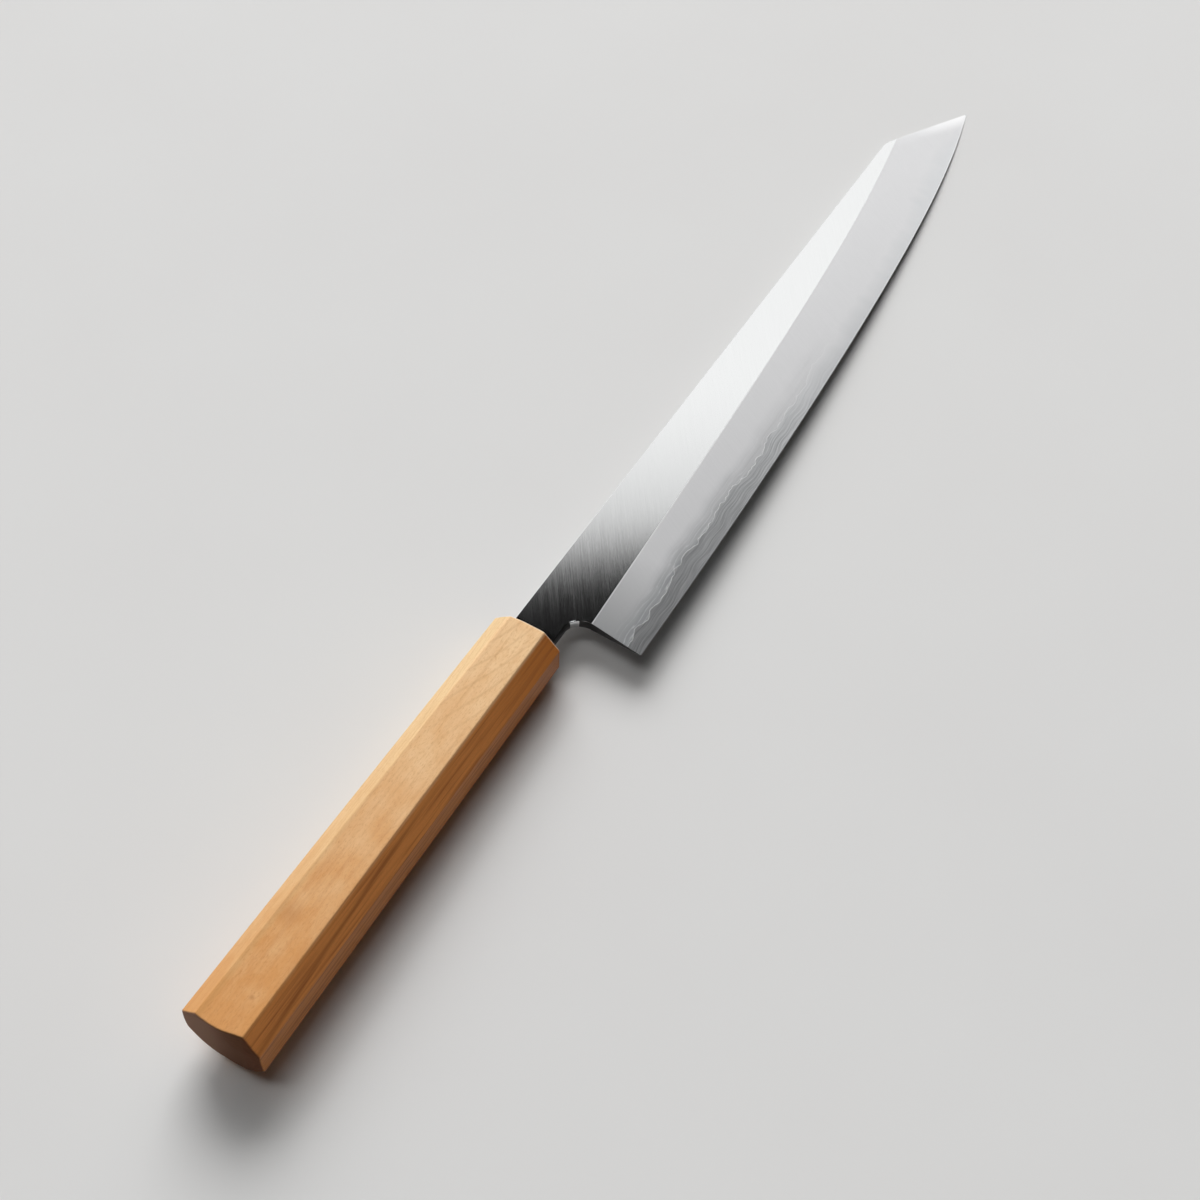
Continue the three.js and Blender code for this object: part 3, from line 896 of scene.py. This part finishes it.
def ribSection(rib, phase):  # one side from spine to weld, from there to the edge, and the weld's two heights
    return bladeSection(rib, phase) if rib[2] == "blade" else neckSection(rib, phase)


def loftPiece(rings, finishes, name, materials):
    builder = bmesh.new()
    labels = ("fromWeld", "aboveWeld", "fromEdge", "fromRidge", "fromClip")
    layers = [builder.verts.layers.float.new(label) for label in labels]
    rows = []
    for ring in rings:
        row = []
        for place, values in ring:
            vertex = builder.verts.new(place)
            for layer, value in zip(layers, values):
                vertex[layer] = value
            row.append(vertex)
        rows.append(row)
    for r, (before, after) in enumerate(zip(rows, rows[1:])):
        for k in range(len(before)):
            nextK = (k + 1) % len(before)
            face = builder.faces.new((before[k], before[nextK], after[nextK], after[k]))
            face.material_index = finishes(r, k)
    builder.faces.new(rows[0])
    builder.faces.new(rows[-1])
    bmesh.ops.remove_doubles(builder, verts=builder.verts, dist=1e-4)
    bmesh.ops.triangulate(builder, faces=builder.faces)
    bmesh.ops.dissolve_degenerate(builder, edges=builder.edges, dist=1e-5)
    bmesh.ops.recalc_face_normals(builder, faces=builder.faces)
    mesh = bpy.data.meshes.new(name)
    builder.to_mesh(mesh)
    builder.free()
    for material in materials:
        mesh.materials.append(material)
    return mesh


steps = blade["bevelSteps"]
ribs = bladeRibs()
firstBlade = next(i for i, rib in enumerate(ribs) if rib[2] == "blade")
firstArc = firstBlade - blade["choilSteps"] - 1
polishedArc = range(*(firstArc + step for step in blade["choilPolished"]))  # painted near black elsewhere
firstClip = next(i for i, rib in enumerate(ribs) if rib[1].x > clipFrom.x)
farOff = 20  # stands for every distance on the neck and tang, where no mark of the bevel reaches


def ribPoint(rib, place, side, welds):  # its place, and how far it is from the lines that the finishes follow
    x, y, z = place
    if rib[2] == "blade":
        return (x, y, z * side), (y - welds[0], y - welds[1], y - rib[0].y, ridgeY(x) - y, fromClip(x, y))
    return (x, y, z * side), (farOff, farOff, farOff, -farOff, farOff)


def claddingPiece(side, phase, name, node):
    rings = []
    for rib in ribs:
        points, _, welds = ribSection(rib, phase)
        if rib[1].y - rib[0].y < 4 * blade["spineEase"]:  # only the core goes on to the very tip
            break
        rings.append([ribPoint(rib, place, side, welds) for place in points])

    def finishes(r, k):  # 0 flat, 1 bevel, 2 polished, 3 painted near black
        flat = 3  # the strips before it are the spine and its ease, the last one is the weld
        if k < flat or k >= len(rings[0]) - 1:
            return 1 if r >= firstClip and 0 < k < flat else 2
        if k == flat:
            return 0
        if r >= firstBlade:
            return 1
        return 2 if r in polishedArc or k in blade["neckPolished"] and r < firstBlade - 1 else 3

    mesh = loftPiece(rings, finishes, name, (steelFlat, steelBevel, steelPolished, steelPaintedNearBlack))
    return placePiece(mesh, name, node)


def corePiece():
    rings = []
    for rib in ribs:
        ring = []
        for side, phase in zip((1, -1), blade["weldPhases"]):
            points, inner, welds = ribSection(rib, phase)
            half = [ribPoint(rib, place, side, welds) for place in (points[0], points[-1], *inner)]
            ring += half if side > 0 else reversed(half)
        rings.append(ring)

    def finishes(r, k):  # 0 honed bevel, 1 polished, 2 painted near black
        count = len(rings[0])
        onBevel = 1 <= k <= steps or count - steps - 2 <= k < count - 2
        if r >= firstBlade and onBevel:
            return 0
        return 1 if r in polishedArc or not 1 <= k < count - 2 else 2

    mesh = loftPiece(rings, finishes, "blade_core", (steelCore, steelPolished, steelPaintedNearBlack))
    return placePiece(mesh, "blade_core", "core_steel")


corePiece()
claddingPiece(1, blade["weldPhases"][0], "blade_cladding_right", "cladding_right")
claddingPiece(-1, blade["weldPhases"][1], "blade_cladding_left", "cladding_left")
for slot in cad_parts["tang_resin"].material_slots:
    slot.material = resin
print("blade made")


# Table, light and camera

stage = {
    "floorSize": 30,
    "floorColour": "#d9d8d7",
    "lamps": (  # name, watts, width and height, azimuth, elevation and distance, what it meets
        ("key", 350, (4.15, 3.74), (36.0, 39.7, 6.0), "matt"),
        ("fill", 59, (0.97, 3.6), (128.3, 78.3, 6.0), "both"),
        ("card", 60, (2.0, 2.8), (-110, 50, 6.0), "steel"),
    ),
    "windowLevel": 1.4,
    "windowFacing": 35,  # azimuth of the window's middle
    "windowTop": 50.0,  # elevation of its top edge, which the flat of the blade mirrors
    "windowSlant": (0.0625, -0.134, 0.989),  # what counts as up for that edge, which is not quite level
    "windowEdges": ((0.017, 0.018, 0), (0.075, 0.08, 0.3)),  # radians above and below it, and the light left
    "ceiling": 0.008,
    "horizon": 0.05,
}


def makeFloor():
    # Pale plaster, trowelled smooth: matt and even, hardly mottled
    material, add, place = newMaterial("plasterPale")
    mottle = grainNoise(add, place, (0.09, 0.09, 0.09), 3)
    colour = add(
        "ShaderNodeMix", {0: mottle, 6: srgb(stage["floorColour"]), 7: srgb("#dddddc")}, data_type="RGBA"
    )[2]
    showSurface(add, {"Base Color": colour, "Roughness": 1, "Specular IOR Level": 0.05})
    half = stage["floorSize"] / 2
    mesh = bpy.data.meshes.new("floor")
    corners = [(-half, -half, 0), (half, -half, 0), (half, half, 0), (-half, half, 0)]
    mesh.from_pydata(corners, [], [(0, 1, 2, 3)])
    mesh.materials.append(material)
    floor = bpy.data.objects.new("floor", mesh)
    scene.collection.objects.link(floor)


def makeLamp(name, watts, size, fromWhere, meets):
    azimuth, elevation, distance = math.radians(fromWhere[0]), math.radians(fromWhere[1]), fromWhere[2]
    level = math.cos(elevation)
    place = Vector((level * math.cos(azimuth), level * math.sin(azimuth), math.sin(elevation))) * distance
    lamp = bpy.data.lights.new(name, "AREA")
    lamp.shape = "RECTANGLE"
    lamp.size, lamp.size_y = size
    lamp.energy = watts
    panel = bpy.data.objects.new(name, lamp)
    panel.location = place
    panel.rotation_euler = place.to_track_quat("Z", "Y").to_euler()
    panel.visible_glossy = meets != "matt"  # the steel mirrors the window in place of the key
    panel.visible_diffuse = meets != "steel"
    scene.collection.objects.link(panel)


def makeWorld():  # a dim room with one wide window, whose top edge shows in the steel
    world = bpy.data.worlds.new("room")
    world.use_nodes = True
    world.node_tree.nodes.clear()
    add = partial(addNode, world.node_tree)
    direction = add("ShaderNodeTexCoord")["Generated"]
    axes = add("ShaderNodeSeparateXYZ", [direction])
    top = math.radians(stage["windowTop"])
    facing = math.radians(stage["windowFacing"])
    ways = (
        stage["windowSlant"],
        (math.cos(facing), math.sin(facing), 0),
        (-math.sin(facing), math.cos(facing), 0),
    )
    rise, ahead, aside = (
        add("ShaderNodeVectorMath", [direction, way], operation="DOT_PRODUCT")["Value"] for way in ways
    )
    window = stage["windowLevel"]
    for above, under, left in stage["windowEdges"]:
        limits = {"From Min": math.sin(top + above), "From Max": math.sin(top - under), "To Min": left}
        edge = add("ShaderNodeMapRange", {"Value": rise, **limits}, **softly)[0]
        window = add("ShaderNodeMath", [edge, window], operation="MULTIPLY")[0]
    width = add("ShaderNodeMath", [aside], operation="ABSOLUTE")[0]
    inWidth = add("ShaderNodeMapRange", {"Value": width, "From Min": 0.72, "From Max": 0.5}, **softly)[0]
    inFront = add("ShaderNodeMapRange", {"Value": ahead, "From Max": 0.2})[0]
    for part in (inWidth, inFront):
        window = add("ShaderNodeMath", [part, window], operation="MULTIPLY")[0]
    walls = add(
        "ShaderNodeMapRange",
        {"Value": axes["Z"], "From Max": 0.75, "To Min": stage["horizon"], "To Max": stage["ceiling"]},
        **softly,
    )[0]
    lit = add(
        "ShaderNodeMapRange",
        {"Value": axes["Y"], "From Min": -0.5, "From Max": 0.6, "To Min": 0.45, "To Max": 1.3},
    )[0]
    level = add("ShaderNodeMath", [walls, lit, window], operation="MULTIPLY_ADD")[0]
    light = add("ShaderNodeBackground", {"Color": (1, 1, 1, 1), "Strength": level})[0]
    add("ShaderNodeOutputWorld", {"Surface": light})
    scene.world = world


view = {
    "lens": 61.756,
    "sensor": 36,
    "nearest": 0.01,
    "place": (-0.34165, -0.17571, 0.52646),
    "aim": (-0.036299, 0.001813, 0),
    "roll": 1.0775,
}


def makeCamera():
    data = bpy.data.cameras.new("camera")
    data.sensor_width = view["sensor"]
    data.lens = view["lens"]
    data.clip_start = view["nearest"]
    camera = bpy.data.objects.new("camera", data)
    place = Vector(view["place"])
    turn = (Vector(view["aim"]) - place).to_track_quat("-Z", "Y").to_matrix().to_4x4()
    roll = Matrix.Rotation(math.radians(view["roll"]), 4, "Z")
    camera.matrix_world = Matrix.Translation(place) @ turn @ roll
    scene.collection.objects.link(camera)
    scene.camera = camera


makeFloor()
for lamp in stage["lamps"]:
    makeLamp(*lamp)
makeWorld()
makeCamera()
scene.view_settings.view_transform = "Standard"
print("table, light and camera made")
